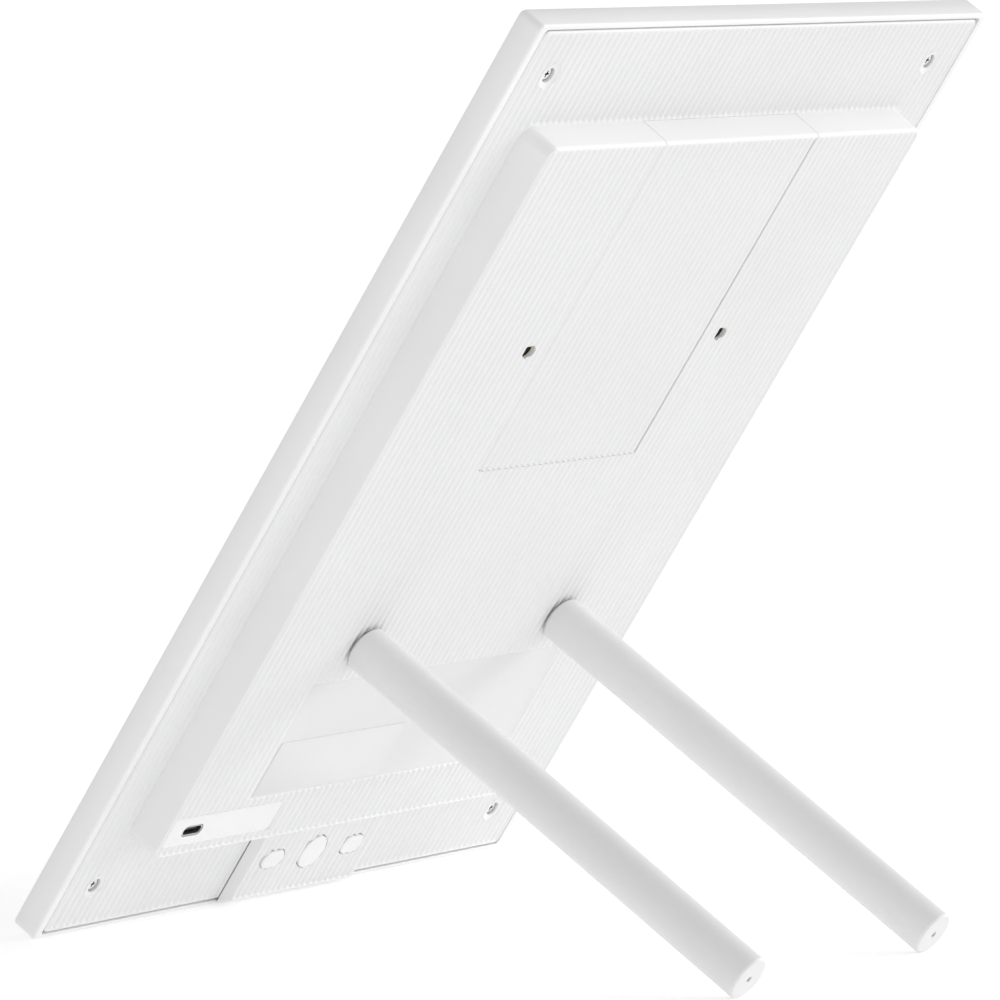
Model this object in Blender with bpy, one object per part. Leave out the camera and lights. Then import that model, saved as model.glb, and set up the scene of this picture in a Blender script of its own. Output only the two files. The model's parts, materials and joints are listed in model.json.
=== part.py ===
"""Digital photo frame that leans back on two screw-in legs. Metres, +Z up, front towards -Y.

Everything is drawn in the panel's own axes and hung from one tilted empty: x runs across the
panel, y out of its back with 0 at the face of the rear cover, and z up along the panel from its
middle. The tilt comes from the rim's lower back edge and the legs' ends standing on one plane.
"""

import math

import bmesh
import bpy
from mathutils import Vector

GAP = 0.0003

RIM_HALF_W = 0.1180
RIM_HALF_H = 0.1518
RIM_CORNER = 0.0020
RIM_INSIDE_W = 0.1148
RIM_INSIDE_H = 0.1503
RIM_OUTSIDE = (
    (0.0004, -0.0080),
    (0.0000, -0.0076),
    (0.0000, -0.0008),
    (0.0001, -0.0004),
    (0.0004, -0.0001),
    (0.0008, 0.0000),
)
RIM_INSIDE = (
    (-0.0003, 0.0000),
    (0.0000, -0.0003),
    (0.0000, -0.0019),
    (0.0021, -0.0019),
    (0.0021, -0.0029),
    (0.0000, -0.0029),
    (0.0000, -0.0072),
    (0.0030, -0.0072),
    (0.0034, -0.0076),
    (0.0034, -0.0080),
)

WINDOW_HALF_W = 0.1014
WINDOW_HALF_H = 0.1352
SHEET_HALF_W = RIM_INSIDE_W - 0.0006
SHEET_HALF_H = RIM_INSIDE_H - 0.0006
FILM_Y = (-0.0070, -0.0065)
MAT_Y = (-0.0062, -0.0057)
DISPLAY_HALF = (0.1055, 0.1393)
DISPLAY_Y = (-0.0054, -0.0047)
PLATE_HALF = (0.1080, 0.1415)
PLATE_Y = (-0.0044, -0.0037)

COVER_HALF_W = 0.1142
COVER_HALF_H = 0.1497
COVER_WALL = 0.0016
BUMP_HALF_W = 0.0993
BUMP_HALF_H = 0.1195
BUMP_HEIGHT = 0.0098
BUMP_CORNER = 0.0050
BUMP_OUTSIDE = (
    (0.0000, 0.00000, 0.0000),
    (0.0005, 0.00010, 0.0006),
    (0.0016, 0.00045, 0.0087),
    (0.0019, 0.00075, 0.0095),
    (0.0025, 0.00120, BUMP_HEIGHT),
)
BUMP_INSIDE = (
    (0.0025, 0.0021, -COVER_WALL),
    (0.0037, 0.0026, 0.0076),
    (0.0045, 0.0031, BUMP_HEIGHT - COVER_WALL),
)

DOOR_HALF_W = 0.0400
DOOR_Z = (0.0092, 0.1195)
POCKET_X = (-0.0635, 0.0640)
POCKET_Z = (-0.1030, -0.0620)
POCKET_DEPTH = 0.0010
STRIP_X = (0.0440, 0.0955)
STRIP_Z = (-0.1155, -0.1055)
STRIP_DEPTH = 0.0005
PORT_AT = (0.0842, -0.1107)
PORT_SIZE = (0.0089, 0.0033)

FIXING_AT = 0.0500
FIXING_HOLE = 0.0023
INSERT_RADIUS = 0.0040
LEG_RADIUS = 0.0068
LEG_END_Y = 0.1603
LEG_ROUND = 0.0009
LEG_COLLAR = (0.0056, 0.0006)
STUD_RADIUS = 0.0020
SCREW_AT = (0.1004, 0.1354)
SCREW_LAND = (0.0040, 0.0005)
SCREW_WELL = (0.0023, 0.0024)

HOUSING_HALF_W = 0.0315
HOUSING_HEIGHT = 0.0036
BUTTON_Z = -0.1345
BUTTON_TRAVEL = 0.0006
SIDE_BUTTON_X = 0.0200
CENTRE_BUTTON = (0.0114, 0.0114)
SIDE_BUTTON = (0.0100, 0.0062)
SWITCH_OPENING = (0.0280, -0.1435, -0.1245)

BOARD_Y = (-0.0030, -0.0018)
ROUND = 28
LEG_STEPS = 40


def clear_scene():
    for obj in list(bpy.data.objects):
        bpy.data.objects.remove(obj, do_unlink=True)


def new_collection(name):
    collection = bpy.data.collections.new(name)
    bpy.context.scene.collection.children.link(collection)
    return collection


def material(name, color, roughness, metallic=0.0):
    made = bpy.data.materials.new(name)
    made.use_nodes = True
    shader = made.node_tree.nodes["Principled BSDF"]
    shader.inputs["Base Color"].default_value = (*color, 1.0)
    shader.inputs["Roughness"].default_value = roughness
    shader.inputs["Metallic"].default_value = metallic
    return made


def rectangle(x0, x1, z0, z1, radius=0.0, steps=5):
    """Corner points (x, z) of a rectangle with rounded corners, in order."""
    if radius <= 0:
        return [(x0, z0), (x1, z0), (x1, z1), (x0, z1)]
    points = []
    middles = (
        (x1 - radius, z0 + radius, -90),
        (x1 - radius, z1 - radius, 0),
        (x0 + radius, z1 - radius, 90),
        (x0 + radius, z0 + radius, 180),
    )
    for x, z, start in middles:
        for i in range(steps + 1):
            turn = math.radians(start + 90 * i / steps)
            points.append((x + radius * math.cos(turn), z + radius * math.sin(turn)))
    return points


def centred(half_w, half_h, radius=0.0):
    return rectangle(-half_w, half_w, -half_h, half_h, radius)


def pill(width, height, steps=6):
    return rectangle(-width / 2, width / 2, -height / 2, height / 2,
                     min(width, height) / 2 - 0.00001, steps)


def circle(radius, x=0.0, z=0.0, steps=ROUND):
    turns = [2 * math.pi * i / steps for i in range(steps)]
    return [(x + radius * math.cos(t), z + radius * math.sin(t)) for t in turns]


def add_stack(bm, layers, closed=False):
    """Skin over (outline, y) layers. Open stacks get flat ends, a closed one joins up as a ring."""
    loops = [[bm.verts.new((x, y, z)) for x, z in outline] for outline, y in layers]
    pairs = list(zip(loops, loops[1:]))
    if closed:
        pairs.append((loops[-1], loops[0]))
    for low, high in pairs:
        for i in range(len(low)):
            j = (i + 1) % len(low)
            bm.faces.new((low[i], low[j], high[j], high[i]))
    if not closed:
        bm.faces.new(list(reversed(loops[0])))
        bm.faces.new(loops[-1])


def finish_mesh(name, bm):
    bmesh.ops.recalc_face_normals(bm, faces=bm.faces)
    mesh = bpy.data.meshes.new(name)
    bm.to_mesh(mesh)
    bm.free()
    mesh.shade_smooth()
    mesh.set_sharp_from_angle(angle=math.radians(35))
    return mesh


class Assembly:
    """The collections, the tilted empty and the materials that every piece shares."""

    def __init__(self):
        self.parts = new_collection("digital_photo_frame")
        self.helpers = new_collection("cutters")
        self.tilt = bpy.data.objects.new("panel_tilt", None)
        self.parts.objects.link(self.tilt)
        self.material_of = make_materials()

    def add(self, name, bm, look, at=(0, 0, 0)):
        obj = bpy.data.objects.new(name, finish_mesh(name, bm))
        self.parts.objects.link(obj)
        obj.parent = self.tilt
        obj.location = at
        obj.data.materials.append(self.material_of[look])
        return obj

    def stack(self, name, layers, look, at=(0, 0, 0), closed=False):
        bm = bmesh.new()
        add_stack(bm, layers, closed)
        return self.add(name, bm, look, at)

    def slab(self, name, outline, y_range, look):
        """A flat piece whose own origin is in its middle."""
        xs = [p[0] for p in outline]
        zs = [p[1] for p in outline]
        x, z = (min(xs) + max(xs)) / 2, (min(zs) + max(zs)) / 2
        y = sum(y_range) / 2
        moved = [(px - x, pz - z) for px, pz in outline]
        layers = [(moved, y_range[0] - y), (moved, y_range[1] - y)]
        return self.stack(name, layers, look, (x, y, z))

    def helper(self, name, shapes):
        """Cutter or filler made of several separate stacks of layers."""
        bm = bmesh.new()
        for layers in shapes:
            add_stack(bm, layers)
        obj = bpy.data.objects.new(name, finish_mesh(name, bm))
        self.helpers.objects.link(obj)
        obj.parent = self.tilt
        obj.hide_render = True
        obj.display_type = "WIRE"
        return obj

    def combine(self, target, name, shapes, operation):
        step = target.modifiers.new(name, "BOOLEAN")
        step.operation = operation
        step.solver = "EXACT"
        step.object = self.helper(name, shapes)


def make_materials():
    looks = {
        "white_rim": ((0.83, 0.83, 0.83), 0.42, 0.0),
        "white_cover": ((0.82, 0.82, 0.82), 0.50, 0.0),
        "white_leg": ((0.83, 0.83, 0.83), 0.38, 0.0),
        "white_mat": ((0.86, 0.86, 0.84), 0.80, 0.0),
        "clear_film": ((0.90, 0.92, 0.93), 0.08, 0.0),
        "paper_display": ((0.62, 0.63, 0.62), 0.65, 0.0),
        "zinc_sheet": ((0.62, 0.63, 0.65), 0.40, 1.0),
        "nickel": ((0.72, 0.71, 0.68), 0.28, 1.0),
        "brass": ((0.72, 0.55, 0.28), 0.35, 1.0),
        "blank_label": ((0.84, 0.84, 0.84), 0.55, 0.0),
        "grey_plastic": ((0.42, 0.43, 0.44), 0.55, 0.0),
        "cell_wrap": ((0.20, 0.34, 0.52), 0.45, 0.0),
        "circuit_board": ((0.05, 0.22, 0.12), 0.50, 0.0),
        "amber_flex": ((0.62, 0.33, 0.08), 0.45, 0.0),
        "black_plastic": ((0.03, 0.03, 0.03), 0.50, 0.0),
        "lead_sleeve": ((0.06, 0.06, 0.06), 0.60, 0.0),
    }
    return {name: material(name, *values) for name, values in looks.items()}


def rim_layers():
    layers = []
    for inset, y in RIM_OUTSIDE:
        layers.append((centred(RIM_HALF_W - inset, RIM_HALF_H - inset, RIM_CORNER - inset), y))
    for inset, y in RIM_INSIDE:
        corner = max(0.0012 - inset, 0.0004)
        layers.append((centred(RIM_INSIDE_W - inset, RIM_INSIDE_H - inset, corner), y))
    return layers


def build_front(kit):
    kit.stack("outer_rim", rim_layers(), "white_rim", closed=True)
    kit.slab("front_film", centred(SHEET_HALF_W, SHEET_HALF_H, 0.001), FILM_Y, "clear_film")
    outside = centred(SHEET_HALF_W, SHEET_HALF_H, 0.001)
    window = centred(WINDOW_HALF_W, WINDOW_HALF_H, 0.0006)
    narrow = centred(WINDOW_HALF_W + 0.0004, WINDOW_HALF_H + 0.0004, 0.0006)
    middle = sum(MAT_Y) / 2
    low, high = MAT_Y[0] - middle, MAT_Y[1] - middle
    mat = [(outside, low), (outside, high), (window, high), (window, low + 0.0003), (narrow, low)]
    kit.stack("front_mat", mat, "white_mat", (0, middle, 0), closed=True)
    kit.slab("display_panel", centred(*DISPLAY_HALF), DISPLAY_Y, "paper_display")
    plate = kit.slab("display_backplate", centred(*PLATE_HALF, 0.003), PLATE_Y, "zinc_sheet")
    standoffs = [(14, -110), (14, -62), (88, -100), (88, -62), (-76, -104), (-76, -74), (-24, -74)]
    kit.combine(plate, "board_standoffs", [
        [(circle(0.0022, x / 1000, z / 1000, 16), PLATE_Y[1] - 0.0004),
         (circle(0.0022, x / 1000, z / 1000, 16), BOARD_Y[0] - GAP)]
        for x, z in standoffs
    ], "UNION")
    kit.combine(plate, "nut_holes", [
        [(circle(0.0033, x, z, 24), -0.005), (circle(0.0033, x, z, 24), -0.003)]
        for x, z in corners(*SCREW_AT)
    ], "DIFFERENCE")


def corners(x, z):
    return [(x, z), (-x, z), (x, -z), (-x, -z)]


CORNER_NAMES = ("upper_left", "upper_right", "lower_left", "lower_right")


def bump_outline(inset_x, inset_z):
    corner = max(BUMP_CORNER - inset_x, 0.001)
    return centred(BUMP_HALF_W - inset_x, BUMP_HALF_H - inset_z, corner)


def build_rear_cover(kit):
    edge = 0.0004
    layers = [(bump_outline(x, z), y) for x, z, y in reversed(BUMP_OUTSIDE)]
    layers += [
        (centred(COVER_HALF_W - edge, COVER_HALF_H - edge, 0.0016), 0.0),
        (centred(COVER_HALF_W, COVER_HALF_H, 0.0020), -edge),
        (centred(COVER_HALF_W, COVER_HALF_H, 0.0020), -COVER_WALL),
    ]
    layers += [(bump_outline(x, z), y) for x, z, y in BUMP_INSIDE]
    cover = kit.stack("rear_cover", layers, "white_cover")
    inner = BUMP_HEIGHT - COVER_WALL
    pad = rectangle(POCKET_X[0] - 0.002, POCKET_X[1] + 0.002,
                    POCKET_Z[0] - 0.002, POCKET_Z[1] + 0.002)
    fillers = [[(pad, inner - 0.0008), (pad, inner + 0.0004)]]
    for x, z in corners(FIXING_AT, FIXING_AT):
        boss = circle(0.0055, x, z)
        fillers.append([(boss, 0.0008), (boss, inner + 0.0004)])
    for x, z in corners(*SCREW_AT):
        boss = circle(0.0045, x, z, 24)
        fillers.append([(boss, -0.0029), (boss, -0.0008)])
    kit.combine(cover, "cover_bosses", fillers, "UNION")
    kit.combine(cover, "cover_pockets", cover_pockets(), "DIFFERENCE")
    kit.combine(cover, "cover_bores", cover_bores(inner), "DIFFERENCE")


def cover_pockets():
    top = BUMP_HEIGHT + 0.002
    door = rectangle(-DOOR_HALF_W - GAP, DOOR_HALF_W + GAP, DOOR_Z[0] - GAP, DOOR_Z[1] + GAP)
    pocket = rectangle(*POCKET_X, *POCKET_Z, 0.0012)
    strip = rectangle(*STRIP_X, *STRIP_Z, 0.0008)
    half_w, z0, z1 = SWITCH_OPENING
    opening = rectangle(-half_w, half_w, z0, z1, 0.001)
    shapes = [
        [(door, -0.0002), (door, top)],
        [(pocket, BUMP_HEIGHT - POCKET_DEPTH), (pocket, top)],
        [(strip, BUMP_HEIGHT - STRIP_DEPTH), (strip, top)],
        [(opening, -0.003), (opening, 0.002)],
    ]
    for x, z in corners(*SCREW_AT):
        well, land = circle(SCREW_WELL[0], x, z), circle(SCREW_LAND[0], x, z)
        shapes.append([
            (well, -SCREW_WELL[1]), (well, -SCREW_LAND[1]), (land, -SCREW_LAND[1]), (land, 0.002)
        ])
    return shapes


def cover_bores(inner):
    width, height = PORT_SIZE[0] + 2 * GAP, PORT_SIZE[1] + 2 * GAP
    port = [(x + PORT_AT[0], z + PORT_AT[1]) for x, z in pill(width, height)]
    shapes = [[(port, 0.005), (port, 0.012)]]
    wide = INSERT_RADIUS + GAP
    for x, z in corners(FIXING_AT, FIXING_AT):
        shapes.append([
            (circle(wide, x, z), -0.001),
            (circle(wide, x, z), inner - 0.0002),
            (circle(FIXING_HOLE, x, z), inner - 0.0002),
            (circle(FIXING_HOLE, x, z), 0.012),
        ])
    for x, z in corners(*SCREW_AT):
        ring = circle(0.0013, x, z, 24)
        shapes.append([(ring, -0.006), (ring, -0.002)])
    return shapes


def build_battery_door(kit):
    """Plate in the bump's back with a flange down the bump's top side, drawn around its middle."""
    inner = BUMP_HEIGHT - COVER_WALL
    side = [(BUMP_HALF_H - z, y) for _, z, y in reversed(BUMP_OUTSIDE[1:])]
    section = [(DOOR_Z[0], inner), (DOOR_Z[0], BUMP_HEIGHT)] + side
    section += [
        (BUMP_HALF_H, 0.0001),
        (BUMP_HALF_H - 0.0018, 0.0001),
        (BUMP_HALF_H - 0.0026, inner),
    ]
    middle = sum(DOOR_Z) / 2
    bm = bmesh.new()
    ends = []
    for x in (-DOOR_HALF_W, DOOR_HALF_W):
        ends.append([bm.verts.new((x, y - BUMP_HEIGHT, z - middle)) for z, y in section])
    for i in range(len(section)):
        j = (i + 1) % len(section)
        bm.faces.new((ends[0][i], ends[0][j], ends[1][j], ends[1][i]))
    bm.faces.new(ends[0])
    bm.faces.new(ends[1])
    kit.add("battery_door", bm, "white_cover", (0, BUMP_HEIGHT, middle))


def build_button_housing(kit):
    top, low = -BUMP_HALF_H - GAP, -RIM_HALF_H + 0.0010
    half = HOUSING_HALF_W
    outside = (
        (half, low, top, GAP),
        (half - 0.0009, low + 0.0024, top + 0.0002, HOUSING_HEIGHT - 0.0005),
        (half - 0.0014, low + 0.0030, top + 0.0002, HOUSING_HEIGHT),
    )
    layers = [(rectangle(-w, w, z0, z1, 0.001), y) for w, z0, z1, y in reversed(outside)]
    inside = ((half - 0.0018, low + 0.0028, top - 0.0016, GAP),
              (half - 0.0024, low + 0.0042, top - 0.0016, HOUSING_HEIGHT - 0.0012))
    layers += [(rectangle(-w, w, z0, z1, 0.0006), y) for w, z0, z1, y in inside]
    housing = kit.stack("button_housing", layers, "white_cover")
    holes = []
    for x, size in button_places():
        outline = pill(size[0] + 2 * GAP, size[1] + 2 * GAP)
        moved = [(px + x, pz + BUTTON_Z) for px, pz in outline]
        holes.append([(moved, 0.001), (moved, 0.006)])
    kit.combine(housing, "button_holes", holes, "DIFFERENCE")


def button_places():
    return ((SIDE_BUTTON_X, SIDE_BUTTON), (0.0, CENTRE_BUTTON), (-SIDE_BUTTON_X, SIDE_BUTTON))


def build_buttons(kit):
    names = ("button_left", "button_centre", "button_right")
    skin = HOUSING_HEIGHT - 0.0012
    for name, (x, size) in zip(names, button_places()):
        cap = pill(*size)
        crown = pill(size[0] - 0.0008, size[1] - 0.0008)
        flange = pill(size[0] + 0.0022, size[1] + 0.0022)
        face = HOUSING_HEIGHT + 0.0001
        layers = [
            (flange, 2 * BUTTON_TRAVEL - face),
            (flange, skin - GAP - face),
            (cap, skin - GAP - face),
            (cap, -0.0003),
            (crown, 0.0),
        ]
        kit.stack(name, layers, "white_cover", (x, face, BUTTON_Z))
    board = rectangle(-0.0315, 0.0315, -0.1450, -0.1215, 0.001)
    kit.slab("button_board", board, (-0.0029, -0.0019), "circuit_board")
    for name, (x, _) in zip(("switch_left", "switch_centre", "switch_right"), button_places()):
        body = centred(0.0026, 0.0026, 0.0003)
        stem = circle(0.0013, steps=20)
        bm = bmesh.new()
        loops = [(body, -0.0016), (body, 0.0)]
        add_stack(bm, loops)
        piece = kit.add(name, bm, "black_plastic", (x, 0, BUTTON_Z))
        at = [(px + x, pz + BUTTON_Z) for px, pz in stem]
        kit.combine(piece, name + "_stem", [[(at, -0.0004), (at, 0.0003)]], "UNION")


def build_corner_fixings(kit):
    for name, (x, z) in zip(CORNER_NAMES, corners(*SCREW_AT)):
        layers = [
            (circle(0.0017, steps=24), -0.0013),
            (circle(0.0020, steps=24), -0.0015),
            (circle(0.0020, steps=24), -0.0021),
            (circle(0.0010, steps=24), -0.0021),
            (circle(0.0010, steps=24), -0.0040),
            (circle(0.0008, steps=24), -0.0042),
        ]
        screw = kit.stack("cover_screw_" + name, layers, "nickel", (x, 0, z))
        arms = [(px + x, pz + z) for px, pz in cross_outline(0.0011, 0.0003)]
        kit.combine(screw, "cross_" + name, [[(arms, -0.0017), (arms, 0.001)]], "DIFFERENCE")
        nut = [
            (circle(0.0030, steps=24), -0.0044),
            (circle(0.0030, steps=24), -0.0032),
            (circle(0.0013, steps=24), -0.0032),
            (circle(0.0013, steps=24), -0.0044),
        ]
        kit.stack("press_nut_" + name, nut, "nickel", (x, 0, z), closed=True)


def cross_outline(w, h):
    return [(h, -w), (h, -h), (w, -h), (w, h), (h, h), (h, w),
            (-h, w), (-h, h), (-w, h), (-w, -h), (-h, -h), (-h, -w)]


def build_legs(kit):
    inner = BUMP_HEIGHT - COVER_WALL - 0.0002 - GAP
    for name, (x, z) in zip(CORNER_NAMES, corners(FIXING_AT, FIXING_AT)):
        layers = [
            (circle(INSERT_RADIUS), 0.0012),
            (circle(INSERT_RADIUS), inner),
            (circle(STUD_RADIUS + GAP), inner),
            (circle(STUD_RADIUS + GAP), 0.0012),
        ]
        kit.stack("leg_insert_" + name, layers, "brass", (x, 0, z), closed=True)
    for side, x in (("left", FIXING_AT), ("right", -FIXING_AT)):
        root = BUMP_HEIGHT + GAP
        length = LEG_END_Y - root
        tube = [
            (STUD_RADIUS + GAP, 0.0080),
            (STUD_RADIUS + GAP, 0.0),
            (LEG_COLLAR[0], 0.0),
            (LEG_COLLAR[0], LEG_COLLAR[1]),
            (LEG_RADIUS - 0.0003, LEG_COLLAR[1]),
            (LEG_RADIUS, LEG_COLLAR[1] + 0.0003),
        ]
        tube += [(LEG_RADIUS - inset, length - back) for inset, back in leg_edge()]
        tube += [(0.0010, length), (0.0009, length - 0.0002), (0.0009, length - 0.0060)]
        leg = [(circle(radius, steps=LEG_STEPS), y) for radius, y in tube]
        kit.stack("leg_" + side, leg, "white_leg", (x, root, -FIXING_AT))
        stud = [
            (circle(STUD_RADIUS - 0.0004, steps=24), -0.0076),
            (circle(STUD_RADIUS, steps=24), -0.0072),
            (circle(STUD_RADIUS, steps=24), 0.0073),
            (circle(STUD_RADIUS - 0.0004, steps=24), 0.0077),
        ]
        kit.stack("leg_stud_" + side, stud, "nickel", (x, root, -FIXING_AT))


def leg_edge(steps=5):
    """(inset, distance from the end) along the rounded edge of a leg's end."""
    turns = [math.pi / 2 * i / steps for i in range(steps + 1)]
    return [(LEG_ROUND * (1 - math.cos(t)), LEG_ROUND * (1 - math.sin(t))) for t in turns]


def build_labels(kit):
    floor = BUMP_HEIGHT - POCKET_DEPTH
    edge = 0.0006
    whole = rectangle(POCKET_X[0] + edge, POCKET_X[1] - edge,
                      POCKET_Z[0] + edge, POCKET_Z[1] - edge, 0.0008)
    kit.slab("rating_label", whole, (floor + 0.0002, floor + 0.00035), "blank_label")
    small = rectangle(0.0012, 0.0625, -0.1018, -0.0830, 0.0005)
    kit.slab("service_label", small, (floor + 0.0005, floor + 0.0008), "blank_label")


def build_port(kit):
    outer = pill(*PORT_SIZE)
    inside = pill(PORT_SIZE[0] - 0.0007, PORT_SIZE[1] - 0.0007)
    low, high = BOARD_Y[1] + GAP, BUMP_HEIGHT - STRIP_DEPTH - 0.0002
    layers = [(inside, low + 0.0008), (inside, high), (outer, high), (outer, low)]
    kit.stack("usb_port_shell", layers, "nickel", (PORT_AT[0], 0, PORT_AT[1]))
    tongue = centred(0.0033, 0.00035)
    layers = [(tongue, low + 0.0011), (tongue, high - 0.0009)]
    kit.stack("usb_port_tongue", layers, "black_plastic", (PORT_AT[0], 0, PORT_AT[1]))


def build_battery(kit):
    z0, z1 = 0.0110, 0.1155
    half, wall = 0.0386, 0.0012
    outer = rectangle(-half, half, z0, z1, 0.002)
    inner = rectangle(-half + wall, half - wall, z0 + wall, z1 - wall, 0.001)
    flange = rectangle(-0.0430, 0.0430, 0.0060, 0.1158, 0.001)
    layers = [
        (outer, -0.0025), (outer, 0.0070), (flange, 0.0070), (flange, 0.0079),
        (inner, 0.0079), (inner, -0.0013),
    ]
    tray = kit.stack("battery_tray", layers, "grey_plastic")
    notch = rectangle(0.0305, 0.0355, 0.0040, 0.0135)
    kit.combine(tray, "lead_notch", [[(notch, 0.0045), (notch, 0.0090)]], "DIFFERENCE")
    for name, x in (("battery_cell_left", 0.0187), ("battery_cell_right", -0.0187)):
        low = rectangle(x - 0.0172, x + 0.0172, 0.0145, 0.1035, 0.0025)
        bevel = rectangle(x - 0.0180, x + 0.0180, 0.0137, 0.1043, 0.0030)
        layers = [(low, -0.0010), (bevel, -0.0004), (bevel, 0.0040), (low, 0.0046)]
        kit.stack(name, layers, "cell_wrap")
    board = rectangle(-0.0300, 0.0300, 0.1060, 0.1130, 0.0005)
    kit.slab("battery_board", board, (-0.0010, 0.0000), "circuit_board")
    build_lead(kit)
    kit.slab("battery_plug", rectangle(0.0290, 0.0370, -0.0670, -0.0620, 0.0004),
             (BOARD_Y[1] + GAP, 0.0022), "black_plastic")


def build_lead(kit):
    """Round lead from the protection board, over the cells and down to its plug."""
    route = [
        (26.0, 1.4, 109.5), (29.0, 1.6, 109.3), (32.0, 2.6, 108.0), (33.0, 4.4, 107.2),
        (33.0, 5.9, 105.2), (33.0, 6.2, 102.0), (33.0, 6.2, 60.0), (33.0, 6.2, 14.0),
        (33.0, 6.2, 4.0), (33.0, 5.6, -2.0), (33.0, 4.2, -8.0), (33.0, 3.2, -16.0),
        (33.0, 2.6, -30.0), (33.0, 1.8, -48.0), (33.0, 1.2, -56.0), (33.0, 1.0, -61.6),
    ]
    curve = bpy.data.curves.new("battery_lead", "CURVE")
    curve.dimensions = "3D"
    curve.bevel_depth = 0.0009
    curve.bevel_resolution = 2
    curve.use_fill_caps = True
    line = curve.splines.new("POLY")
    line.points.add(len(route) - 1)
    for point, (x, y, z) in zip(line.points, route):
        point.co = (x / 1000, y / 1000, z / 1000, 1)
    obj = bpy.data.objects.new("battery_lead", curve)
    curve.materials.append(kit.material_of["lead_sleeve"])
    kit.parts.objects.link(obj)
    obj.parent = kit.tilt


def build_boards(kit):
    main = rectangle(0.0080, 0.0915, -0.1140, -0.0585, 0.001)
    kit.slab("main_board", main, BOARD_Y, "circuit_board")
    shield = [
        (rectangle(-0.0150, 0.0150, -0.0120, 0.0120, 0.0008), 0.0),
        (rectangle(-0.0150, 0.0150, -0.0120, 0.0120, 0.0008), 0.0020),
        (rectangle(-0.0145, 0.0145, -0.0115, 0.0115, 0.0005), 0.0024),
    ]
    kit.stack("processor_shield", shield, "zinc_sheet", (0.0560, BOARD_Y[1] + GAP, -0.0860))
    module = rectangle(0.0200, 0.0275, -0.1100, -0.0950, 0.0004)
    kit.slab("wireless_module", module, (BOARD_Y[1] + GAP, 0.0004), "nickel")
    driver = rectangle(-0.0800, -0.0200, -0.1080, -0.0700, 0.001)
    kit.slab("driver_board", driver, BOARD_Y, "circuit_board")
    kit_flex = ((-139.6, -5.1), (-142.6, -5.1), (-143.4, -4.8), (-143.7, -4.25),
                (-143.4, -3.65), (-142.6, -3.35), (-104.0, -3.35))
    ribbon(kit, "display_flex", kit_flex, -0.0720, -0.0360, False)
    link = ((-26.0, -1.35), (-19.0, -1.35), (-16.0, -0.7), (0.0, -0.7), (5.0, -1.35), (12.0, -1.35))
    ribbon(kit, "board_link_flex", link, -0.0920, -0.0800, True)
    ribbon(kit, "button_flex", ((-130.0, -3.35), (-118.0, -3.35), (-106.0, -3.35)),
           0.0180, 0.0280, False)


def ribbon(kit, name, path, side0, side1, along_x, half=0.000125):
    """Thin strip that follows (run, y) points given in millimetres, between its two sides."""
    points = [Vector((run / 1000, y / 1000)) for run, y in path]
    above, below = [], []
    for i, point in enumerate(points):
        before = point - points[i - 1] if i else points[1] - points[0]
        after = points[i + 1] - point if i + 1 < len(points) else before
        normals = [Vector((-d.y, d.x)).normalized() for d in (before, after)]
        mitre = (normals[0] + normals[1]).normalized()
        mitre *= half / max(mitre.dot(normals[0]), 0.3)
        above.append(point + mitre)
        below.append(point - mitre)
    section = above + below[::-1]
    bm = bmesh.new()
    ends = []
    for side in (side0, side1):
        spots = [(p.x, p.y, side) if along_x else (side, p.y, p.x) for p in section]
        ends.append([bm.verts.new(spot) for spot in spots])
    for i in range(len(section)):
        j = (i + 1) % len(section)
        bm.faces.new((ends[0][i], ends[0][j], ends[1][j], ends[1][i]))
    bm.faces.new(ends[0])
    bm.faces.new(ends[1])
    return kit.add(name, bm, "amber_flex")


def foot_height(points, lean):
    return min(z * math.cos(lean) - y * math.sin(lean) for y, z in points)


def find_lean():
    """The tilt at which the rim's lower back edge and the legs' ends are equally low."""
    rim = [(y, inset - RIM_HALF_H) for inset, y in RIM_OUTSIDE]
    leg = [(LEG_END_Y - back, inset - LEG_RADIUS - FIXING_AT) for inset, back in leg_edge()]
    small, large = math.radians(15), math.radians(45)
    for _ in range(60):
        lean = (small + large) / 2
        if foot_height(rim, lean) < foot_height(leg, lean):
            small = lean
        else:
            large = lean
    return lean, foot_height(rim, lean), rim, leg


def tilt_panel(kit):
    """Leans the panel back and puts the middle of the whole footprint at the origin."""
    lean, lowest, rim, leg = find_lean()
    leg_tops = [(y, -2 * FIXING_AT - z) for y, z in leg]
    reach = [y * math.cos(lean) + z * math.sin(lean) for y, z in rim + leg_tops]
    kit.tilt.rotation_euler = (-lean, 0, 0)
    kit.tilt.location = (0, -(min(reach) + max(reach)) / 2, -lowest)


def main():
    clear_scene()
    kit = Assembly()
    build_front(kit)
    build_rear_cover(kit)
    build_battery_door(kit)
    build_button_housing(kit)
    build_buttons(kit)
    build_corner_fixings(kit)
    build_legs(kit)
    build_labels(kit)
    build_port(kit)
    build_battery(kit)
    build_boards(kit)
    tilt_panel(kit)


main()
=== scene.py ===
"""Looks of a digital photo frame on two screw-in legs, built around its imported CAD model.

Shapes are drawn in millimetres in the panel's own axes: x across, y out of its back with 0 at the
cover's face, and z up along the panel from its middle. PANEL turns them into the frame's metres.
"""

import json
import math

import bmesh
import bpy
import numpy as np
from mathutils import Matrix, Vector
from mathutils.geometry import delaunay_2d_cdt


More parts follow.
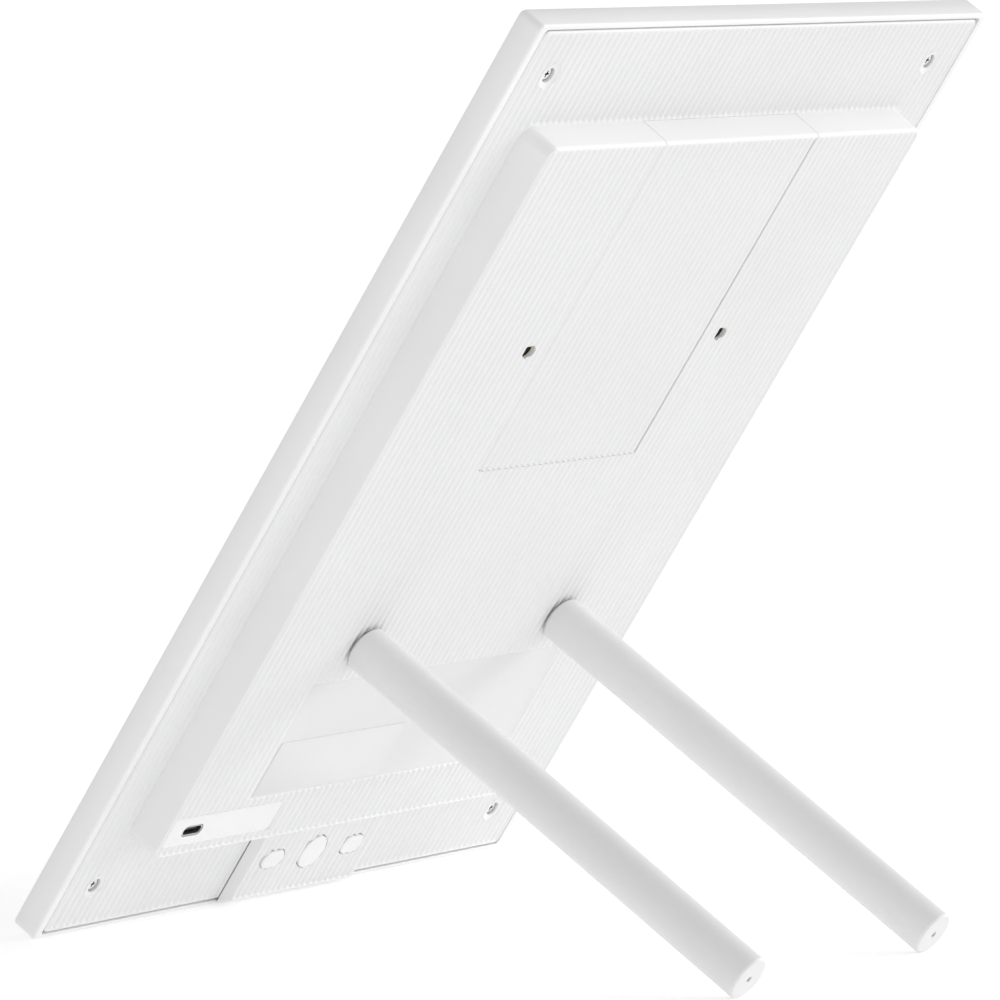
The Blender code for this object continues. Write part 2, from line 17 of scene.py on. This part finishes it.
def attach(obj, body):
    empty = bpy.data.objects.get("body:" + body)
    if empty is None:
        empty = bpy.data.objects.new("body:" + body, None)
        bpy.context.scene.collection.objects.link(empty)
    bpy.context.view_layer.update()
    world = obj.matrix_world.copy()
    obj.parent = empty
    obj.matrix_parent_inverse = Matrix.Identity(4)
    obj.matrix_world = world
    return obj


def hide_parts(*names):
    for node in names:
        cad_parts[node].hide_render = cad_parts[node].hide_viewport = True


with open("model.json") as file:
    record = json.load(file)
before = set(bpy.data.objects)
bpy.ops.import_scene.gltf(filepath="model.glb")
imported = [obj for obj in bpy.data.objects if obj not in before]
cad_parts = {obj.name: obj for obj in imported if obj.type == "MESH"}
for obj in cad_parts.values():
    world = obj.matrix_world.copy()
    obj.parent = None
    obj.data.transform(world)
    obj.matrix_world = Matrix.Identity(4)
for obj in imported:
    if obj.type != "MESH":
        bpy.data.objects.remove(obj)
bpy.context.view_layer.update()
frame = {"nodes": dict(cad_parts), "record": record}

MM = 0.001
BUMP = 9.8
hung = next(m for m in frame["record"]["mounts"] if m["name"] == "wall_hole_pattern")
OUT = Vector(hung["axis"]).normalized()
ACROSS = Vector((1, 0, 0))
UP = ACROSS.cross(OUT)
MIDDLE = Vector(hung["pos_m"]) - OUT * (BUMP * MM)
TURN = Matrix((ACROSS, OUT, UP)).transposed()
PANEL = Matrix.Translation(MIDDLE) @ TURN.to_4x4() @ Matrix.Scale(MM, 4)

# ribs run along z; each set is the x of one ridge and the pitch
RIB_DEPTH = 0.75
RIB_STEPS = 8
BUMP_RIBS = (0.4, 2.95)
MARGIN_RIBS = (1.7, 2.976)
END_FADE = 1.3
SIDE_FADE = 0.8

# rounded rectangles are (x0, x1, z0, z1, corner radius)
RIM_OUTER = (-118.0, 118.0, -151.8, 151.8, 2.0)
RIM_INNER = (-114.8, 114.8, -150.3, 150.3, 1.2)
COVER_FACE = (-113.8, 113.8, -149.3, 149.3, 1.6)
COVER_EDGE = (-114.2, 114.2, -149.7, 149.7, 2.0)
BUMP_BASE = (-99.3, 99.3, -119.5, 119.5, 5.0)
# insets from BUMP_BASE in x and z at each y, from the cover's face up
BUMP_LAYERS = (
    (0.0, 0.0, 0.0), (0.5, 0.1, 0.6), (1.6, 0.45, 8.7), (1.9, 0.75, 9.5), (2.5, 1.2, BUMP),
)
BUMP_INSIDE = ((2.5, 2.1, -0.8), (3.7, 2.6, 7.6), (4.5, 3.1, 8.2))
COVER_BACK = -1.6
BUMP_FOOT = -0.8
BUMP_BACK = 8.2
DOOR = (-40.0, 40.0, 9.2)
SEAM = 0.3
POCKET = (-63.5, 64.0, -103.0, -62.0, 1.2)
POCKET_FLOOR = BUMP - 0.68
STICKER = (1.2, 62.5, -101.8, -83.0, 0.8)
STRIP = (44.0, 95.5, -115.5, -105.5, 0.8)
STRIP_FLOOR = BUMP - 0.5
PORT = (84.2, -110.7, 9.5, 3.9)
FIXING = 50.0
FIXING_RADIUS = 2.3
SCREW = (100.4, 135.4)
LAND_RADIUS = 4.0
WELL_FLOOR = -2.4
BOSS_RADIUS = 4.5
BOSS_END = -2.9
SWITCH_OPENING = (-28.0, 28.0, -143.5, -124.5, 1.0)
HOUSING_LOW = -150.8
HOUSING_TOP = -119.8
HOUSING = 3.6
BUTTON_Z = -134.5
BUTTONS = (("button_left", 20.0, 10.0, 6.2), ("button_centre", 0.0, 11.4, 11.4),
           ("button_right", -20.0, 10.0, 6.2))


# outlines

def rounded(rect, steps=6):
    x0, x1, z0, z1, radius = rect
    points = []
    turns = ((x1 - radius, z0 + radius, -90), (x1 - radius, z1 - radius, 0),
             (x0 + radius, z1 - radius, 90), (x0 + radius, z0 + radius, 180))
    for x, z, start in turns:
        for i in range(steps + 1):
            a = math.radians(start + 90 * i / steps)
            points.append((x + radius * math.cos(a), z + radius * math.sin(a)))
    return points


def inset_rect(rect, dx, dz, radius=None):
    x0, x1, z0, z1, old = rect
    if radius is None:
        radius = max(old - dx, 1.0)
    return (x0 + dx, x1 - dx, z0 + dz, z1 - dz, radius)


def pill(x, z, width, height, steps=12):
    radius = min(width, height) / 2 - 0.001
    return rounded((x - width / 2, x + width / 2, z - height / 2, z + height / 2, radius), steps)


def circle(x, z, radius, steps=48):
    turns = [2 * math.pi * i / steps for i in range(steps)]
    return [(x + radius * math.cos(t), z + radius * math.sin(t)) for t in turns]


def reshape(rect_a, rect_b, y):
    """Step that carries a point of one rounded rectangle to the matching point of another."""
    def parts(rect):
        x0, x1, z0, z1, r = rect
        return (x0 + x1) / 2, (z0 + z1) / 2, (x1 - x0) / 2 - r, (z1 - z0) / 2 - r, r
    ax, az, aw, ah, ar = parts(rect_a)
    bx, bz, bw, bh, br = parts(rect_b)

    def step(x, z):
        cx = max(-aw, min(aw, x - ax))
        cz = max(-ah, min(ah, z - az))
        dx, dz = (x - ax - cx) / ar, (z - az - cz) / ar
        return bx + cx * bw / aw + dx * br, y, bz + cz * bh / ah + dz * br
    return step


def straight(y):
    return lambda x, z: (x, y, z)


def shrink(x0, z0, ratio, y):
    return lambda x, z: (x0 + (x - x0) * ratio, y, z0 + (z - z0) * ratio)


# surfaces

def within(points, outline):
    x, z = points[:, 0], points[:, 1]
    hit = np.zeros(len(points), bool)
    for (x0, z0), (x1, z1) in zip(outline, outline[1:] + outline[:1]):
        if z0 != z1:
            hit ^= ((z0 > z) != (z1 > z)) & (x < x0 + (z - z0) * (x1 - x0) / (z1 - z0))
    return hit


def walk_rims(triangles):
    sides = set()
    for a, b, c in triangles:
        sides.update(((a, b), (b, c), (c, a)))
    follow = {a: b for a, b in sides if (b, a) not in sides}
    rims = []
    while follow:
        start, here = next(iter(follow.items()))
        rim = [start]
        del follow[start]
        while here != start:
            rim.append(here)
            here = follow.pop(here)
        rims.append(rim)
    return rims


def extent(points):
    array = np.array(points)
    return np.concatenate((array.min(0), array.max(0)))


def triangulate(outlines, lines=()):
    """Points and triangles that fill the first outline less the others, and the point sources."""
    points, sides = [], []
    for outline in outlines:
        first = len(points)
        points += [Vector(p) for p in outline]
        sides += [(first + i, first + (i + 1) % len(outline)) for i in range(len(outline))]
    for a, b in lines:
        sides.append((len(points), len(points) + 1))
        points += [Vector(a), Vector(b)]
    made = delaunay_2d_cdt(points, sides, [], 0, 1e-5)
    spots = np.array([tuple(p) for p in made[0]])
    triangles = np.array(made[2])
    corners = spots[triangles]
    u, v = corners[:, 1] - corners[:, 0], corners[:, 2] - corners[:, 0]
    area = u[:, 0] * v[:, 1] - u[:, 1] * v[:, 0]
    triangles[area < 0] = triangles[area < 0][:, ::-1]
    centres = corners.mean(1)
    keep = within(centres, outlines[0]) & (np.abs(area) > 1e-9)
    for outline in outlines[1:]:
        keep &= ~within(centres, outline)
    return spots, triangles[keep], made[3]


def sheet(bm, outlines, height, lines):
    """Surface over the first outline less the others. Returns one rim of vertices for each."""
    spots, triangles, _ = triangulate(outlines, lines)
    heights = height(spots[:, 0], spots[:, 1])
    made = {i: bm.verts.new((spots[i][0], heights[i], spots[i][1])) for i in np.unique(triangles)}
    for a, b, c in triangles:
        bm.faces.new((made[a], made[b], made[c]))
    rims = walk_rims([tuple(t) for t in triangles])
    boxes = [extent(outline) for outline in outlines]
    found = [None] * len(outlines)
    for rim in rims:
        box = extent(spots[rim])
        best = min(range(len(boxes)), key=lambda i: np.abs(boxes[i] - box).sum())
        found[best] = [made[i] for i in rim]
    return found


def face(bm, verts):
    kept = [v for i, v in enumerate(verts) if v is not verts[i - 1]]
    if len(kept) > 2:
        bm.faces.new(kept)


def walls(bm, rim, steps):
    """Walls from a rim through steps, all measured from the rim's own places."""
    before = rim
    for step in steps:
        after = [bm.verts.new(step(v.co.x, v.co.z)) for v in rim]
        for i in range(len(rim)):
            j = (i + 1) % len(rim)
            face(bm, (before[i], before[j], after[j], after[i]))
        before = after
    return before


def close(bm, *rims):
    """Flat face across the first rim less the others."""
    outlines = [[(v.co.x, v.co.z) for v in rim] for rim in rims]
    joined = [v for rim in rims for v in rim]
    spots, triangles, sources = triangulate(outlines)
    level = rims[0][0].co.y
    made = {}
    for i in np.unique(triangles):
        if sources[i]:
            made[i] = joined[sources[i][0]]
        else:
            made[i] = bm.verts.new((spots[i][0], level, spots[i][1]))
    for a, b, c in triangles:
        face(bm, (made[a], made[b], made[c]))


def ring(bm, outline, y):
    return [bm.verts.new((x, y, z)) for x, z in outline]


def stack(bm, layers, closed=False):
    """Skin over (outline, y) layers, with flat ends unless it joins up as a ring."""
    rings = [ring(bm, outline, y) for outline, y in layers]
    pairs = list(zip(rings, rings[1:]))
    if closed:
        pairs.append((rings[-1], rings[0]))
    for low, high in pairs:
        for i in range(len(low)):
            j = (i + 1) % len(low)
            bm.faces.new((low[i], low[j], high[j], high[i]))
    if not closed:
        bm.faces.new(list(reversed(rings[0])))
        bm.faces.new(rings[-1])


def smooth(distance, reach):
    t = np.clip(distance / reach, 0, 1)
    return t * t * (3 - 2 * t)


def rib(x, ribs):
    ridge, pitch = ribs
    return 0.5 * RIB_DEPTH * (1 - np.cos(2 * np.pi * (x - ridge) / pitch))


def rib_columns(x0, x1, ribs):
    ridge, pitch = ribs
    step = pitch / RIB_STEPS
    first = math.ceil((x0 + 0.02 - ridge) / step)
    last = math.floor((x1 - 0.02 - ridge) / step)
    return [ridge + k * step for k in range(first, last + 1)]


def column_lines(x0, x1, z0, z1, ribs):
    return [((x, z0), (x, z1)) for x in rib_columns(x0, x1, ribs)]


def row_lines(x0, x1, heights):
    return [((x0, z), (x1, z)) for z in heights]


# materials

GLOSS_SPREAD = 0.05


def new_material(name):
    made = bpy.data.materials.new(name)
    made.use_nodes = True
    nodes = made.node_tree.nodes
    return made, nodes, made.node_tree.links, nodes["Principled BSDF"]


def moulded(name, color, roughness, grain=0.000006, tint=0.012, metallic=0.0, scale=2600):
    """Fine-grained surface: slow change of tone, uneven gloss and a fine grain."""
    made, nodes, links, shader = new_material(name)
    place = nodes.new("ShaderNodeTexCoord")
    slow = nodes.new("ShaderNodeTexNoise")
    slow.inputs["Scale"].default_value = 26
    slow.inputs["Detail"].default_value = 3
    fine = nodes.new("ShaderNodeTexNoise")
    fine.inputs["Scale"].default_value = scale
    fine.inputs["Detail"].default_value = 4
    for noise in (slow, fine):
        links.new(place.outputs["Object"], noise.inputs["Vector"])
    ramp = nodes.new("ShaderNodeValToRGB")
    low, high = ramp.color_ramp.elements
    low.position, high.position = 0.3, 0.7
    low.color = (*[max(c - tint, 0) for c in color], 1)
    high.color = (*[min(c + tint, 1) for c in color], 1)
    links.new(slow.outputs["Fac"], ramp.inputs["Fac"])
    links.new(ramp.outputs["Color"], shader.inputs["Base Color"])
    gloss = nodes.new("ShaderNodeMapRange")
    gloss.inputs["To Min"].default_value = roughness - GLOSS_SPREAD
    gloss.inputs["To Max"].default_value = roughness + GLOSS_SPREAD
    links.new(fine.outputs["Fac"], gloss.inputs["Value"])
    links.new(gloss.outputs["Result"], shader.inputs["Roughness"])
    bump = nodes.new("ShaderNodeBump")
    bump.inputs["Distance"].default_value = grain
    bump.inputs["Strength"].default_value = 0.6
    links.new(fine.outputs["Fac"], bump.inputs["Height"])
    links.new(bump.outputs["Normal"], shader.inputs["Normal"])
    shader.inputs["Metallic"].default_value = metallic
    return made


LOOKS = {
    "white_rim": moulded("white_rim", (0.86, 0.86, 0.86), 0.42),
    "white_cover": moulded("white_cover", (0.84, 0.84, 0.84), 0.50, grain=0.000010),
    # the legs' white is darker than the rim's to stand in for the shade on their lower sides:
    # painted shade
    "white_leg": moulded("white_leg", (0.76, 0.76, 0.76), 0.42),
    "white_mat": moulded("white_mat", (0.82, 0.81, 0.79), 0.85, grain=0.00003, scale=1500),
    "paper_display": moulded("paper_display", (0.60, 0.61, 0.59), 0.62, grain=0.000008, scale=3200),
    "zinc_sheet": moulded("zinc_sheet", (0.60, 0.61, 0.63), 0.38, metallic=1.0, scale=900),
    "nickel": moulded("nickel", (0.55, 0.54, 0.52), 0.32, metallic=1.0),
    "brass": moulded("brass", (0.60, 0.45, 0.22), 0.38, metallic=1.0),
    "blank_label": moulded("blank_label", (0.75, 0.75, 0.75), 0.55, grain=0.000012, scale=1800),
    "grey_plastic": moulded("grey_plastic", (0.36, 0.37, 0.38), 0.55),
    "cell_wrap": moulded("cell_wrap", (0.16, 0.28, 0.45), 0.40),
    "circuit_board": moulded("circuit_board", (0.04, 0.18, 0.10), 0.45),
    "amber_flex": moulded("amber_flex", (0.52, 0.27, 0.07), 0.40),
    "black_plastic": moulded("black_plastic", (0.02, 0.02, 0.02), 0.50, tint=0.006),
    "lead_sleeve": moulded("lead_sleeve", (0.04, 0.04, 0.04), 0.60, tint=0.008),
}


def clear_sheet():
    made, nodes, links, shader = new_material("clear_film")
    shader.inputs["Alpha"].default_value = 0.10
    shader.inputs["IOR"].default_value = 1.49
    shader.inputs["Base Color"].default_value = (0.86, 0.88, 0.88, 1)
    place = nodes.new("ShaderNodeTexCoord")
    fine = nodes.new("ShaderNodeTexNoise")
    fine.inputs["Scale"].default_value = 4000
    links.new(place.outputs["Object"], fine.inputs["Vector"])
    gloss = nodes.new("ShaderNodeMapRange")
    gloss.inputs["To Min"].default_value = 0.05
    gloss.inputs["To Max"].default_value = 0.16
    links.new(fine.outputs["Fac"], gloss.inputs["Value"])
    links.new(gloss.outputs["Result"], shader.inputs["Roughness"])
    return made


LOOKS["clear_film"] = clear_sheet()


def screw_with_painted_recess_shade():
    """White paint on the head's face; everything of the screw lower than that, the driver's recess
    included, near-black painted shade.
    """
    made = moulded("screw_with_painted_recess_shade", (0.84, 0.84, 0.84), 0.45)
    nodes, links = made.node_tree.nodes, made.node_tree.links
    color = nodes["Principled BSDF"].inputs["Base Color"]
    paint = color.links[0].from_socket
    place = nodes.new("ShaderNodeTexCoord")
    depth = nodes.new("ShaderNodeVectorMath")
    depth.operation = "DOT_PRODUCT"
    depth.inputs[1].default_value = OUT
    links.new(place.outputs["Object"], depth.inputs[0])
    # painted shade: points more than 1.4 mm below the cover's face, in the driver's recess, down
    # the head's sides and along the shank, take a near-black colour
    above = nodes.new("ShaderNodeMath")
    above.operation = "GREATER_THAN"
    above.inputs[1].default_value = MIDDLE.dot(OUT) - 1.4 * MM
    links.new(depth.outputs["Value"], above.inputs[0])
    mix = nodes.new("ShaderNodeMix")
    mix.data_type = "RGBA"
    mix.inputs["A"].default_value = (0.02, 0.02, 0.02, 1)
    links.new(above.outputs["Value"], mix.inputs["Factor"])
    links.new(paint, mix.inputs["B"])
    links.new(mix.outputs["Result"], color)
    return made


LOOKS["screw_with_painted_recess_shade"] = screw_with_painted_recess_shade()


def add_piece(name, bm, body, nodes, slot, sharp=40):
    bmesh.ops.recalc_face_normals(bm, faces=bm.faces)
    bm.transform(PANEL)
    mesh = bpy.data.meshes.new(name)
    bm.to_mesh(mesh)
    bm.free()
    mesh.shade_smooth()
    mesh.set_sharp_from_angle(angle=math.radians(sharp))
    mesh.materials.append(LOOKS[slot])
    piece = bpy.data.objects.new(name, mesh)
    bpy.context.scene.collection.objects.link(piece)
    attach(piece, body)
    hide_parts(*nodes)
    return piece


# pieces

def outside_gap(x, z, rect):
    """Distance outwards from a rounded rectangle centred on the panel, negative inside it."""
    radius = rect[4]
    dx = np.abs(x) - (rect[1] - radius)
    dz = np.abs(z) - (rect[3] - radius)
    beyond = np.hypot(np.maximum(dx, 0), np.maximum(dz, 0))
    return beyond + np.minimum(np.maximum(dx, dz), 0) - radius


def build_cover_plate():
    bm = bmesh.new()
    under_bump = inset_rect(BUMP_BASE, 1.0, 1.0)
    lands = [(x, z) for x in (SCREW[0], -SCREW[0]) for z in (SCREW[1], -SCREW[1])]
    outlines = [rounded(COVER_FACE), rounded(under_bump), rounded(SWITCH_OPENING)]
    outlines += [circle(x, z, LAND_RADIUS) for x, z in lands]

    def height(x, z):
        near_bump = smooth(outside_gap(x, z, BUMP_BASE), END_FADE)
        near_edge = smooth(-outside_gap(x, z, COVER_FACE), END_FADE)
        return -rib(x, MARGIN_RIBS) * (near_bump * near_edge)

    lines = column_lines(-113.8, 113.8, -150, 150, MARGIN_RIBS)
    for side in (1, -1):
        near_edge = [side * (149.3 - d) for d in (0.3, 0.6, 0.9, 1.3)]
        near_bump = [side * (119.5 + d) for d in (0.0, 0.4, 0.7, 1.0, 1.3)]
        lines += row_lines(-114, 114, near_edge + near_bump)
        lines += row_lines(-114, 114, [side * z for z in (114.6, 116.5, 118.0)])
    rims = sheet(bm, outlines, height, lines)
    outer = walls(bm, rims[0], [reshape(COVER_FACE, COVER_EDGE, y) for y in (-0.4, COVER_BACK)])
    inner = walls(bm, rims[1], [straight(COVER_BACK)])
    slot = walls(bm, rims[2], [straight(COVER_BACK)])
    bosses = []
    for rim, (x, z) in zip(rims[3:], lands):
        steps = [shrink(x, z, 0.97, -0.3), shrink(x, z, 0.90, -0.5), shrink(x, z, 0.60, -0.5),
                 shrink(x, z, 0.575, -0.58), shrink(x, z, 0.575, WELL_FLOOR)]
        close(bm, walls(bm, rim, steps))
        boss = ring(bm, circle(x, z, BOSS_RADIUS), COVER_BACK)
        bosses.append(boss)
        close(bm, walls(bm, boss, [straight(BOSS_END)]))
    close(bm, outer, inner, slot, *bosses)
    add_piece("cover_plate", bm, "panel", ["rear_cover"], "white_cover")


def build_cover_bump():
    bm = bmesh.new()
    top = inset_rect(BUMP_BASE, 2.5, 1.2)
    half, foot, head = DOOR[1] + SEAM, DOOR[2] - SEAM, top[3]
    outline = rounded(top, 5)
    notch = [(half, head), (half, foot), (-half, foot), (-half, head)]
    outline = outline[:12] + notch + outline[12:]
    fixings = [(x, z) for x in (FIXING, -FIXING) for z in (FIXING, -FIXING)]
    outlines = [outline, rounded(POCKET), rounded(STRIP)]
    outlines += [circle(x, z, FIXING_RADIUS) for x, z in fixings]

    def height(x, z):
        fade = smooth(top[1] - np.abs(x), SIDE_FADE) * smooth(top[3] - z, END_FADE)
        return BUMP - rib(x, BUMP_RIBS) * (fade * smooth(z - top[2], SIDE_FADE))

    lines = column_lines(top[0], top[1], -120, 120, BUMP_RIBS)
    lines += row_lines(-98, 98, [head - d for d in (0.3, 0.6, 0.9, 1.3, 2.2)])
    lines += row_lines(-98, 98, [top[2] + d for d in (0.2, 0.4, 0.6, 0.8, 2.2)])
    rims = sheet(bm, outlines, height, lines)

    # the outline's rim in two runs: round the bump's outside, and round the door's notch
    loop = rims[0]
    in_notch = [abs(v.co.x) < half + 0.001 and v.co.z > foot - 0.001 for v in loop]
    start = next(i for i in range(len(loop)) if in_notch[i - 1] and not in_notch[i])
    loop = loop[start - 1:] + loop[:start - 1]
    in_notch = in_notch[start - 1:] + in_notch[:start - 1]
    last = max(i for i in range(len(loop)) if not in_notch[i]) + 1
    outer_run, notch_run = loop[:last + 1], loop[last:] + loop[:1]

    steps = []
    for dx, dz, y in reversed(BUMP_LAYERS[:-1]):
        steps.append(reshape(top, inset_rect(BUMP_BASE, dx, dz), y))
    steps.append(reshape(top, BUMP_BASE, BUMP_FOOT))
    for dx, dz, y in BUMP_INSIDE:
        steps.append(reshape(top, inset_rect(BUMP_BASE, dx, dz), y))
    before, ends = outer_run, [[outer_run[0]], [outer_run[-1]]]
    for step in steps:
        after = [bm.verts.new(step(v.co.x, v.co.z)) for v in outer_run]
        for i in range(len(after) - 1):
            face(bm, (before[i], before[i + 1], after[i + 1], after[i]))
        ends[0].append(after[0])
        ends[1].append(after[-1])
        before = after
    for end in ends:
        bm.faces.new(end)
    under = []
    for i, v in enumerate(notch_run):
        if v.co.z > before[0].co.z:
            under.append(before[-1] if i < len(notch_run) / 2 else before[0])
        else:
            under.append(bm.verts.new((v.co.x, BUMP_BACK, v.co.z)))
    for i in range(len(notch_run) - 1):
        face(bm, (notch_run[i], notch_run[i + 1], under[i + 1], under[i]))
    middle = [v for v in under if v is not before[0] and v is not before[-1]]
    underside = before + middle

    pocket_foot = inset_rect(POCKET, 0.3, 0.3, 0.9)
    close(bm, walls(bm, rims[1], [reshape(POCKET, pocket_foot, POCKET_FLOOR)]))
    strip_foot = inset_rect(STRIP, 0.1, 0.1, 0.7)
    strip_steps = [straight(STRIP_FLOOR + 0.1), reshape(STRIP, strip_foot, STRIP_FLOOR)]
    port = ring(bm, pill(*PORT), STRIP_FLOOR)
    close(bm, walls(bm, rims[2], strip_steps), port)
    holes = [walls(bm, port, [straight(BUMP_BACK)])]
    holes += [walls(bm, rim, [straight(BUMP_BACK)]) for rim in rims[3:]]
    close(bm, underside, *holes)
    add_piece("cover_bump", bm, "panel", ["rear_cover"], "white_cover")


def build_battery_door():
    bm = bmesh.new()
    x0, x1, z0 = DOOR
    head = BUMP_BASE[3] - 1.2
    xs = [x0, x0 + 0.12] + rib_columns(x0 + 0.15, x1 - 0.15, BUMP_RIBS) + [x1 - 0.12, x1]
    section = [(z0, BUMP_BACK), (z0, BUMP - 0.12), (z0 + 0.12, BUMP)]
    section += [(head - d, BUMP) for d in (2.2, 1.3, 0.9, 0.6, 0.3, 0.0)]
    section += [(BUMP_BASE[3] - dz, y) for _, dz, y in BUMP_LAYERS[-2:0:-1]]
    section += [(119.5, 0.1), (117.7, 0.1), (116.9, BUMP_BACK)]
    rows = []
    for z, y in section:
        on_top = y == BUMP
        row = []
        for i, x in enumerate(xs):
            drop = 0.0
            if on_top:
                drop = rib(x, BUMP_RIBS) * float(smooth(head - z, END_FADE))
                if i in (0, len(xs) - 1):
                    drop += 0.12
            row.append(bm.verts.new((x, y - drop, z)))
        rows.append(row)
    for row, following in zip(rows, rows[1:] + rows[:1]):
        for i in range(len(xs) - 1):
            face(bm, (row[i], row[i + 1], following[i + 1], following[i]))
    bm.faces.new([row[0] for row in rows])
    bm.faces.new([row[-1] for row in rows])
    add_piece("door_panel", bm, "battery_door", ["battery_door"], "white_cover")


def build_housing():
    bm = bmesh.new()
    low, high = HOUSING_LOW, HOUSING_TOP
    top = (-30.1, 30.1, low + 3.0, high + 0.2, 1.0)

    def height(x, z):
        fade = smooth(top[1] - np.abs(x), SIDE_FADE) * smooth(z - top[2], SIDE_FADE)
        return HOUSING - rib(x, BUMP_RIBS) * (fade * smooth(top[3] - z, 0.5))

    outlines = [rounded(top)] + [pill(x, BUTTON_Z, w + 0.6, h + 0.6) for _, x, w, h in BUTTONS]
    lines = column_lines(-30.1, 30.1, low - 1, high + 2, BUMP_RIBS)
    lines += row_lines(-32, 32, [top[2] + d for d in (0.2, 0.4, 0.6, 0.8)])
    lines += row_lines(-32, 32, [top[3] - d for d in (0.25, 0.5)])
    rims = sheet(bm, outlines, height, lines)
    shapes = (
        ((-30.35, 30.35, low + 2.65, high + 0.2, 1.0), 3.45),
        ((-30.6, 30.6, low + 2.4, high + 0.2, 1.0), 3.1),
        ((-31.4, 31.4, low + 0.2, high, 1.0), 0.5),
        ((-31.5, 31.5, low, high, 1.0), 0.3),
        ((-29.7, 29.7, low + 2.8, high - 1.6, 0.6), 0.3),
        ((-29.1, 29.1, low + 4.2, high - 1.6, 0.6), 2.4),
    )
    under = walls(bm, rims[0], [reshape(top, rect, y) for rect, y in shapes])
    holes = [walls(bm, rim, [straight(2.4)]) for rim in rims[1:]]
    close(bm, under, *holes)
    add_piece("button_block", bm, "panel", ["button_housing"], "white_cover")


def build_buttons():
    face_y = HOUSING + 0.1
    for name, x, width, height in BUTTONS:
        bm = bmesh.new()
        layers = [
            (pill(x, BUTTON_Z, width + 2.2, height + 2.2), 1.2),
            (pill(x, BUTTON_Z, width + 2.2, height + 2.2), 2.1),
            (pill(x, BUTTON_Z, width, height), 2.1),
        ]
        for i in range(6):
            a = math.pi / 2 * i / 5
            inset = 0.6 * (1 - math.cos(a))
            y = face_y - 0.35 * (1 - math.sin(a))
            layers.append((pill(x, BUTTON_Z, width - 2 * inset, height - 2 * inset), y))
        layers.append((pill(x, BUTTON_Z, width * 0.5, height * 0.5), face_y))
        stack(bm, layers)
        add_piece(name + "_cap", bm, name, [name], "white_cover", sharp=50)


def build_rim():
    bm = bmesh.new()
    outside, inside = [(0.4, -8.0), (0.0, -7.6)], []
    for i in range(8):
        a = math.pi / 2 * i / 7
        outside.append((0.8 * (1 - math.cos(a)), -0.8 * (1 - math.sin(a))))
    for i in range(5):
        a = math.pi / 2 * i / 4
        inside.append((-0.3 * (1 - math.sin(a)), -0.3 * (1 - math.cos(a))))
    inside += [(0.0, -1.9), (2.1, -1.9), (2.1, -2.9), (0.0, -2.9), (0.0, -7.2), (3.0, -7.2)]
    inside += [(3.3, -7.3), (3.4, -7.6), (3.4, -8.0)]
    layers = [(rounded(inset_rect(RIM_OUTER, d, d, max(2.0 - d, 0.5)), 8), y) for d, y in outside]
    layers += [(rounded(inset_rect(RIM_INNER, d, d, max(1.2 - d, 0.4)), 8), y) for d, y in inside]
    stack(bm, layers, closed=True)
    add_piece("rim_band", bm, "panel", ["outer_rim"], "white_rim", sharp=50)


def build_sticker():
    bm = bmesh.new()
    outline = rounded(STICKER)
    top = rounded(inset_rect(STICKER, 0.06, 0.06, 0.74))
    stack(bm, [(outline, 9.05), (outline, 9.32), (top, 9.36)])
    add_piece("service_sticker", bm, "panel", ["service_label"], "blank_label")


build_cover_plate()
build_cover_bump()
build_battery_door()
build_housing()
build_buttons()
build_rim()
build_sticker()

slot_of = {row["node"]: row["material_slot"] for row in frame["record"]["subparts"]}
for node, obj in frame["nodes"].items():
    # the corner screws get a white head with near-black painted shade in its recess
    painted = node.startswith("cover_screw")
    obj.data.materials.clear()
    obj.data.materials.append(LOOKS["screw_with_painted_recess_shade" if painted else slot_of[node]])


# stage, light and camera

def build_floor():
    bm = bmesh.new()
    corners = [(-60, -60), (60, -60), (60, 60), (-60, 60)]
    bm.faces.new([bm.verts.new((x, y, 0)) for x, y in corners])
    mesh = bpy.data.meshes.new("floor")
    bm.to_mesh(mesh)
    bm.free()
    paint = moulded("floor_paint", (0.85, 0.85, 0.85), 0.9, grain=0.00002, tint=0.004)
    glow = paint.node_tree.nodes["Principled BSDF"]
    glow.inputs["Emission Color"].default_value = (1, 1, 1, 1)
    glow.inputs["Emission Strength"].default_value = 0.33
    mesh.materials.append(paint)
    floor = bpy.data.objects.new("floor", mesh)
    bpy.context.scene.collection.objects.link(floor)


def panel_direction(x, y, z):
    return ACROSS * x + OUT * y + UP * z


CAMERA_AT = (1672.656, 820.612, 732.108)
CAMERA_RIGHT = panel_direction(-0.547756, 0.697701, 0.461711)
CAMERA_FORWARD = panel_direction(-0.833734, -0.409259, -0.370669)


def build_camera():
    data = bpy.data.cameras.new("camera")
    data.sensor_width = 36
    data.lens = 256.05
    camera = bpy.data.objects.new("camera", data)
    bpy.context.scene.collection.objects.link(camera)
    up = CAMERA_RIGHT.cross(CAMERA_FORWARD)
    turn = Matrix((CAMERA_RIGHT, up, -CAMERA_FORWARD)).transposed()
    camera.matrix_world = Matrix.Translation(PANEL @ Vector(CAMERA_AT)) @ turn.to_4x4()
    bpy.context.scene.camera = camera


def build_light():
    world = bpy.data.worlds.new("studio")
    world.use_nodes = True
    world.node_tree.nodes["Background"].inputs["Color"].default_value = (1, 1, 1, 1)
    world.node_tree.nodes["Background"].inputs["Strength"].default_value = 0.70
    bpy.context.scene.world = world
    data = bpy.data.lights.new("softbox", "SUN")
    data.energy = 2.2
    data.angle = 1.0
    lamp = bpy.data.objects.new("softbox", data)
    lamp.location = (-1, 1, 1.5)
    lamp.rotation_euler = panel_direction(-0.86, 0.33, 0.39).to_track_quat("Z", "Y").to_euler()
    bpy.context.scene.collection.objects.link(lamp)


build_floor()
build_camera()
build_light()
bpy.context.scene.view_settings.view_transform = "Standard"
